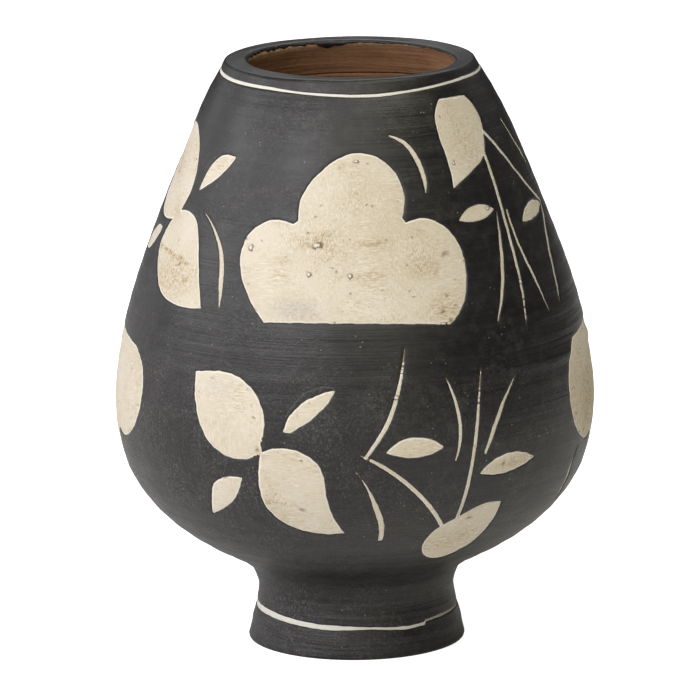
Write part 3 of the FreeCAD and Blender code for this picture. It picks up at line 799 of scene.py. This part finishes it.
def rim_relief(theta, s):
    """Lip of the vase: the wall's unevenness fading into a slightly wavy, finger-smoothed edge."""
    shift = mouth_shift(theta) * np.clip((s - LIP_TOP) / (LIP_END - LIP_TOP), 0, 1)
    fade = np.clip((WALL_END - s) / 5, 0, 1)
    wave = 0.10 * np.sin(3 * theta + 0.8) * np.clip((s - WALL_END + 5) / 5, 0, 1)
    return shift + (relief(theta, s) * fade + wave + 0.05 * np.sin(9 * theta + s / 2))


def slip_inside_edge(theta):
    """Ragged lower edge of the dark slip at the inner edge of the lip, with one smear running down."""
    az = np.degrees(theta) % 360
    smear = 2.6 * np.exp(-((az - 193) / 4.5) ** 2) + 1.0 * np.exp(-((az - 186) / 7) ** 2)
    ragged = 0.28 * np.sin(theta * 23) * np.sin(theta * 7 + 1) + 0.22 * np.sin(theta * 61 + 2 * np.sin(theta * 9))
    ragged = ragged + 0.13 * np.sin(theta * 113 + 1) * np.sin(theta * 17)
    return LIP_END - 1.3 + ring_wave(theta, 31, 0.4) + ragged + smear


def inner_relief(theta, s):
    """Finger ridges of the thrown inside."""
    spiral = theta / TURN
    fade = np.clip(INNER.at(s)[0] / 20, 0, 1)
    ridge = 0.22 * np.sin(TURN * (s / 7.5 + spiral))
    ridge = ridge + 0.10 * np.sin(TURN * (s / 2.9 + 2 * spiral) + 0.6 * np.sin(theta * 3))
    slow = 0.25 * np.sin(2 * theta + s / 40) + 0.12 * np.sin(5 * theta - s / 23)
    ridge = ridge * np.interp(s, [0, 12, 40], [0.1, 0.25, 1])
    return (ridge + slow) * fade * np.clip(s / 4, 0, 1) + mouth_shift(theta) * np.exp(-(s / 30) ** 2)


def under_slip(theta, s):
    """The plain clay face under the coats."""
    return relief(theta, s) + BASE_LEVEL


def foot_relief(theta, s):
    """Unevenness of the hollow under the foot, calm at the standing ring."""
    uneven = 0.12 * np.sin(s * 1.1 + theta) + 0.1 * np.sin(theta * 4 + s / 5)
    return -uneven * np.clip((FOOT.at(s)[1] - 1.5) / 4, 0, 1)


def clay_wall(name, node, columns, runs, salts=True):
    """Closed clay ring; its section is made of runs (path, from, to, rows, height function), in order."""
    theta = turn_angles(columns)
    rows, pale = [], []
    for path, start, end, count, height in runs:
        for s in np.linspace(start, end, count):
            s = np.full(columns, s)
            rows.append(space(path, theta, s, height(theta, s)))
            pale.append(np.exp(-(s / 2.4) ** 2) * (path is INNER))
    points, faces, kept = weld(np.concatenate(rows + rows[:1]), grid_faces(len(rows) + 1, columns).tolist())
    values = {"pale": np.concatenate(pale + pale[:1])[kept]} if salts else None
    make(name, points, faces, node, "terracotta", values)


# ---------------- materials
class Nodes:
    """Short way to build a material's node tree."""

    def __init__(self, name):
        self.material = bpy.data.materials.new(name)
        self.material.use_nodes = True
        self.tree = self.material.node_tree
        self.shader = self.tree.nodes["Principled BSDF"]
        self.place = self.add("ShaderNodeTexCoord").outputs["Object"]
        self.normal = None

    def add(self, kind, **inputs):
        node = self.tree.nodes.new(kind)
        for key, value in inputs.items():
            self.put(node.inputs[key.replace("_", " ")], value)
        return node

    def put(self, socket, value):
        if isinstance(value, bpy.types.NodeSocket):
            self.tree.links.new(value, socket)
        else:
            socket.default_value = value

    def texture(self, kind, scale, **settings):
        """Texture on the object; a scale of three numbers stretches it."""
        where = self.place
        if isinstance(scale, tuple):
            where = self.add("ShaderNodeMapping", Vector=where, Scale=scale).outputs[0]
            scale = 1.0
        return self.add(kind, Vector=where, Scale=scale, **settings).outputs[0]

    def noise(self, scale, detail=2.0, rough=0.5):
        return self.texture("ShaderNodeTexNoise", scale, Detail=detail, Roughness=rough)

    def cells(self, scale):
        return self.texture("ShaderNodeTexVoronoi", scale)

    def span(self, value, a, b, c=0.0, d=1.0):
        node = self.add("ShaderNodeMapRange", Value=value)
        for key, number in (("From Min", a), ("From Max", b), ("To Min", c), ("To Max", d)):
            node.inputs[key].default_value = number
        return node.outputs[0]

    def sums(self, operation, a, b):
        node = self.tree.nodes.new("ShaderNodeMath")
        node.operation = operation
        self.put(node.inputs[0], a)
        self.put(node.inputs[1], b)
        return node.outputs[0]

    def product(self, a, b):
        return self.sums("MULTIPLY", a, b)

    def along(self, axis):
        return self.add("ShaderNodeSeparateXYZ", Vector=self.place).outputs[axis]

    def layer(self, name):
        node = self.add("ShaderNodeAttribute")
        node.attribute_name = name
        return node.outputs["Fac"]

    def mix(self, share, a, b):
        node = self.tree.nodes.new("ShaderNodeMix")
        node.data_type = "RGBA"
        self.put(node.inputs[0], share)
        self.put(node.inputs[6], a)
        self.put(node.inputs[7], b)
        return node.outputs[2]

    def ground(self, share, rgb, other):
        """First colour of the surface, running between two."""
        self.colour = self.mix(share, (*rgb, 1), (*other, 1))

    def paint(self, share, rgb, strength=None):
        """Another colour over it where share is high."""
        if strength is not None:
            share = self.product(share, strength)
        self.colour = self.mix(share, self.colour, (*rgb, 1))

    def bump(self, height, distance, strength=1.0):
        """Relief on top of what there is."""
        node = self.add("ShaderNodeBump", Height=height, Distance=distance, Strength=strength)
        if self.normal is not None:
            self.put(node.inputs["Normal"], self.normal)
        self.normal = node.outputs[0]

    def finish(self, rough, **settings):
        for key, value in (("Base Color", self.colour), ("Roughness", rough), ("Normal", self.normal)):
            self.put(self.shader.inputs[key], value)
        for key, value in settings.items():
            self.shader.inputs[key.replace("_", " ")].default_value = value
        return self.material


def dark_slip():
    """Charcoal slip, burnished by hand: satin and mottled, with turning streaks, dust, scratches and specks; the grain
    low on the left is partly wear and partly painted sheen on the lit side.
    """
    n = Nodes("dark_slip_burnished")
    low = n.span(n.along("Z"), 0.085, 0.035)
    streaks = n.noise((9, 9, 640), 5.0, 0.66)
    broad = n.noise(24.0, 4.0, 0.6)
    mottle = n.noise(210.0, 4.0, 0.65)
    grain = n.noise(900.0, 3.0, 0.7)
    rub = n.noise((60, 60, 240), 3.0, 0.6)
    patchy = n.span(n.noise(45.0, 3.0), 0.42, 0.62, 0.35, 1.0)
    n.ground(n.span(broad, 0.35, 0.68), (0.0102, 0.0088, 0.0100), (0.0168, 0.0148, 0.0162))
    n.paint(n.span(mottle, 0.47, 0.66), (0.036, 0.0345, 0.033), n.product(patchy, 0.8))
    n.paint(n.span(mottle, 0.46, 0.32), (0.009, 0.0085, 0.0085), 0.6)
    shown = n.span(low, 0.0, 1.0, 0.22, 0.8)
    n.paint(n.span(streaks, 0.50, 0.68), (0.044, 0.042, 0.039), shown)
    n.paint(n.span(streaks, 0.47, 0.34), (0.009, 0.0085, 0.0085), n.product(shown, 0.8))
    # Light and dark grain, strongest low on the left: partly wear, partly painted sheen where the key lights fall,
    # which leaves the right side darker
    lit_side = n.span(n.along("X"), 0.03, -0.04, 0.3, 1.0)
    wear_and_sheen = n.product(n.product(n.span(n.along("Z"), 0.150, 0.138, 0.35, 1.0), patchy), lit_side)
    n.paint(n.span(grain, 0.52, 0.64), (0.105, 0.098, 0.098), wear_and_sheen)
    n.paint(n.span(grain, 0.47, 0.34), (0.003, 0.003, 0.003), n.product(wear_and_sheen, 0.9))
    dots = n.product(n.span(n.cells(380.0), 0.17, 0.09), n.span(n.noise(150.0, 1.0), 0.60, 0.66))
    n.paint(dots, (0.34, 0.31, 0.25), 0.6)
    tawny = n.product(n.span(n.cells((250, 250, 330)), 0.15, 0.08), n.span(n.noise(90.0, 1.0), 0.61, 0.66))
    n.paint(tawny, (0.20, 0.13, 0.06), 0.35)
    n.paint(n.layer("score"), (0.115, 0.110, 0.105), n.span(grain, 0.35, 0.6, 0.3, 0.8))
    rough = n.span(n.sums("ADD", n.product(rub, 0.6), n.product(streaks, 0.4)), 0.3, 0.7, 0.27, 0.40)
    n.bump(n.product(streaks, n.span(low, 0.0, 1.0, 1.0, 2.4)), 0.00026, 0.8)
    n.bump(n.product(grain, wear_and_sheen), 0.0008)
    n.bump(n.product(mottle, wear_and_sheen), 0.0006, 0.6)
    return n.finish(rough, IOR=1.51)


def cream_slip():
    """Cream slip laid bare by the cutting tool: fine hatching, golden patches, brown specks, grey rubs, with painted
    highlight and shadow along the cut edges and on the blisters.
    """
    n = Nodes("cream_slip_brushed")
    across = n.noise((260, 260, 1900), 4.0, 0.68)
    upright = n.noise((1900, 1900, 260), 4.0, 0.68)
    hatch = n.mix(n.span(n.noise((34, 34, 20), 1.0), 0.44, 0.56), across, upright)
    broad = n.noise(30.0, 4.0, 0.6)
    patches = n.span(n.noise((55, 55, 90), 4.0, 0.65), 0.48, 0.66)
    speckle = n.noise((620, 620, 900), 3.0, 0.72)
    edge = n.layer("edge")
    n.ground(n.span(broad, 0.38, 0.66), (0.75, 0.675, 0.565), (0.68, 0.595, 0.465))
    n.paint(n.span(hatch, 0.50, 0.64), (0.52, 0.39, 0.21), n.span(patches, 0.0, 1.0, 0.12, 0.75))
    n.paint(n.span(hatch, 0.47, 0.34), (0.86, 0.815, 0.73), 0.7)
    n.paint(n.span(speckle, 0.57, 0.66), (0.34, 0.23, 0.115), n.span(patches, 0.0, 1.0, 0.06, 0.65))
    n.paint(n.layer("stain"), (0.43, 0.31, 0.15), n.span(n.sums("ADD", hatch, speckle), 0.90, 1.12, 0.15, 1.5))
    n.paint(n.layer("grey"), (0.40, 0.39, 0.375), n.span(speckle, 0.40, 0.60, 0.25, 0.95))
    # Pale rim just inside each cut edge: partly a pale burr, partly a painted highlight on the edge
    n.paint(n.product(n.span(edge, 0.16, 0.36), n.span(edge, 0.80, 0.70)), (0.95, 0.90, 0.81), 0.9)
    # Paler cream where pale is set: the whiter slip of the ring lines, and a painted highlight on blister tops
    n.paint(n.layer("pale"), (0.86, 0.85, 0.81), 0.85)
    # Brown ring round blisters and pits, darker on one side as painted shade, and darker middles in pits
    n.paint(n.layer("mark"), (0.13, 0.07, 0.03), n.span(speckle, 0.35, 0.6, 0.8, 1.0))
    # Dark brown line at the very edge: partly brown clay, partly painted shadow of the coat's step
    n.paint(n.span(edge, 0.70, 0.84), (0.20, 0.13, 0.065), n.span(speckle, 0.35, 0.65, 0.55, 1.0))
    n.bump(hatch, 0.00022, 0.6)
    n.bump(speckle, 0.00016, 0.6)
    n.bump(n.noise(210.0), 0.0003, 0.4)
    return n.finish(n.span(broad, 0.3, 0.7, 0.62, 0.80), IOR=1.46)


def terracotta():
    """Brown fired clay, coarse, with fine throwing lines and pale salts near the mouth."""
    n = Nodes("clay_brown")
    lines = n.noise((30, 30, 1500), 5.0, 0.72)
    grit = n.noise((500, 500, 900), 3.0, 0.7)
    n.ground(n.span(n.noise(40.0, 4.0, 0.6), 0.35, 0.68), (0.29, 0.138, 0.067), (0.41, 0.212, 0.110))
    n.paint(n.span(lines, 0.5, 0.68), (0.52, 0.31, 0.175), 0.6)
    n.paint(n.span(lines, 0.47, 0.33), (0.16, 0.075, 0.038), 0.55)
    n.paint(n.span(grit, 0.56, 0.70), (0.14, 0.07, 0.036), 0.6)
    n.paint(n.layer("pale"), (0.62, 0.48, 0.32), n.span(grit, 0.42, 0.58, 0.0, 0.8))
    n.bump(lines, 0.00045, 0.8)
    n.bump(grit, 0.0002, 0.8)
    return n.finish(0.86, IOR=1.45)


MATERIALS = {"dark_slip": dark_slip(), "cream_slip": cream_slip(), "terracotta": terracotta()}

# ---------------- pieces
CUTS = cut_loops()
body_coat(CUTS)
for cut in CUTS:
    inlay(cut)
ring_strip("slip_rim_line", "cream_rim_line", rim_low, rim_high)
ring_strip("slip_foot_line", "cream_foot_line", foot_low, foot_high, scratch_to=110)
turned_coat("coat_rim", "dark_coat_rim", rim_high, slip_inside_edge, 0.7, rim_relief)
turned_coat("coat_foot", "dark_coat_foot", lambda theta: np.full_like(theta, 0.4), foot_low, 0.8, relief)


def inner_at(r, z):
    """Distance along the inside wall of the point nearest to the given one."""
    return INNER.s[np.argmin(np.hypot(INNER.p[:, 0] - r, INNER.p[:, 1] - z))]


lip_in, belly_in = inner_at(55.4, 252.8), inner_at(97.8, 134.5)
lip_out, belly_out, foot_out = s_at(LIP_JOINT), s_at(BELLY_JOINT), s_at(FOOT_JOINT)
skin_end = WALL_END + 2.5
clay_wall("wall_lip", "clay_lip", AROUND, [
    (INNER, 0.0, lip_in, max(4, int(lip_in)), inner_relief),
    (SKIN, lip_out, skin_end, max(4, int((skin_end - lip_out) / 4)), under_slip)])
clay_wall("wall_shoulder", "clay_shoulder", CLAY_AROUND, [
    (INNER, lip_in, belly_in, int(belly_in - lip_in), inner_relief),
    (SKIN, belly_out, lip_out, int((lip_out - belly_out) / 4), under_slip)])
# The floor closes at the axis, so the bowl's section starts and ends there
underside = Path([(0.01, FOOT_JOINT), (33.5, FOOT_JOINT)])
clay_wall("wall_bowl", "clay_bowl", CLAY_AROUND, [
    (INNER, belly_in, INNER.length, 120, inner_relief),
    (underside, 0, underside.length, 2, lambda theta, s: 0 * s),
    (SKIN, foot_out, belly_out, 45, under_slip)], salts=False)
FOOT = Path(np.r_[
    smooth([(33.5, FOOT_JOINT), (35.0, 15.0), (38.0, 1.5)], 1.0), arc((39.5, 1.5), 1.5, 180, 270, 8),
    np.array([(41.0, 0.0), (44.0, 0.0), (47.0, 0.0)]), arc((48.0, 1.3), 1.3, -90, -20, 8)])
clay_wall("wall_foot", "clay_foot_ring", CLAY_AROUND, [
    (FOOT, 0, FOOT.length, 70, foot_relief),
    (SKIN, WALL_START + 0.5, foot_out, 14, under_slip)], salts=False)

# ---------------- floor, light, camera
floor_mesh = bpy.data.meshes.new("floor")
ring = [(30 * math.cos(a), 30 * math.sin(a), 0) for a in np.linspace(0, TURN, 97)[:-1]]
floor_mesh.from_pydata(ring, [], [tuple(range(96))])
floor = add_object("floor", floor_mesh)
paper = Nodes("floor_paper")
paper.ground(paper.noise(3.0), (0.93, 0.93, 0.93), (0.95, 0.95, 0.95))
paper.bump(paper.noise(400.0), 0.0001, 0.2)
floor_mesh.materials.append(paper.finish(0.9, Emission_Color=(1, 1, 1, 1)))
paper.put(paper.shader.inputs["Emission Strength"],
          paper.product(paper.add("ShaderNodeLightPath").outputs["Is Camera Ray"], 0.95))

WARM = (1.0, 0.97, 0.72)
MILD = (1.0, 0.98, 0.88)
NEUTRAL = (1.0, 0.99, 1.0)
LIGHTS = [
    # name, azimuth, elevation, size in m, power in W, colour
    ("edge_left", -128, 14, 1.2, 3.6, NEUTRAL),
    ("key_side", -90, 25, 1.2, 13.0, NEUTRAL),
    ("key", -60, 25, 1.2, 6.6, NEUTRAL),
    ("key_front", -35, 30, 1.2, 16.2, NEUTRAL),
    ("front", 0, 35, 1.2, 5.8, MILD),
    ("front_right", 20, 25, 1.0, 3.2, WARM),
    ("low_left", -80, 5, 1.0, 1.6, NEUTRAL),
    ("high_left", -30, 60, 1.0, 3.1, NEUTRAL),
    ("high_front", 25, 62, 1.0, 8.6, MILD),
    ("high_right", 65, 58, 1.0, 6.6, WARM),
    ("edge_right", 135, 30, 1.2, 1.1, NEUTRAL),
    ("back", 180, 45, 1.2, 9.0, NEUTRAL),
]
LIGHT_DISTANCE = 2.2
LIGHT_TARGET = Vector((0, 0, 0.14))
for name, azimuth, elevation, size, power, colour in LIGHTS:
    a, e = math.radians(azimuth), math.radians(elevation)
    way = Vector((math.sin(a) * math.cos(e), -math.cos(a) * math.cos(e), math.sin(e)))
    lamp = bpy.data.lights.new(name, "AREA")
    lamp.shape = "RECTANGLE"
    lamp.size, lamp.size_y, lamp.energy, lamp.color = size, size, power, colour
    thing = add_object(name, lamp)
    where = LIGHT_TARGET + way * LIGHT_DISTANCE
    thing.location = where
    thing.rotation_mode = "QUATERNION"
    thing.rotation_quaternion = (LIGHT_TARGET - where).to_track_quat("-Z", "Y")

# The camera sees white all round; reflections and bounces see a faint room
world = bpy.data.worlds.new("studio")
bpy.context.scene.world = world
world.use_nodes = True
nodes, links = world.node_tree.nodes, world.node_tree.links
seen, soft = nodes["Background"], nodes.new("ShaderNodeBackground")
seen.inputs[0].default_value = soft.inputs[0].default_value = (1, 1, 1, 1)
seen.inputs[1].default_value = 1.0
choose, ray, faint = (nodes.new("ShaderNode" + kind) for kind in ("MixShader", "LightPath", "Math"))
faint.operation = "MULTIPLY_ADD"
faint.inputs[1].default_value = 0.05
faint.inputs[2].default_value = 0.004
for output, socket in (
        (ray.outputs["Is Glossy Ray"], faint.inputs[0]), (faint.outputs[0], soft.inputs[1]),
        (ray.outputs["Is Camera Ray"], choose.inputs[0]), (soft.outputs[0], choose.inputs[1]),
        (seen.outputs[0], choose.inputs[2]), (choose.outputs[0], nodes["World Output"].inputs[0])):
    links.new(output, socket)

DISTANCE, ELEVATION, ROLL = 3.672, math.radians(12.4), math.radians(-0.5)
LENS = 412.6
target = Vector((0, 0, 0.135))
aim = Vector((-0.00178, 0, 0.1341))
camera = add_object("camera", bpy.data.cameras.new("camera"))
camera.data.lens = LENS
camera.data.sensor_width = 36.0
camera.data.clip_end = 100.0
camera.location = target + Vector((0, -math.cos(ELEVATION), math.sin(ELEVATION))) * DISTANCE
forward = (aim - camera.location).normalized()
right = forward.cross(Vector((0, 0, 1))).normalized()
up = right.cross(forward)
side = right * math.cos(ROLL) + up * math.sin(ROLL)
above = up * math.cos(ROLL) - right * math.sin(ROLL)
camera.rotation_mode = "QUATERNION"
camera.rotation_quaternion = Matrix((side, above, -forward)).transposed().to_quaternion()
bpy.context.scene.camera = camera
bpy.context.scene.view_settings.view_transform = "Standard"
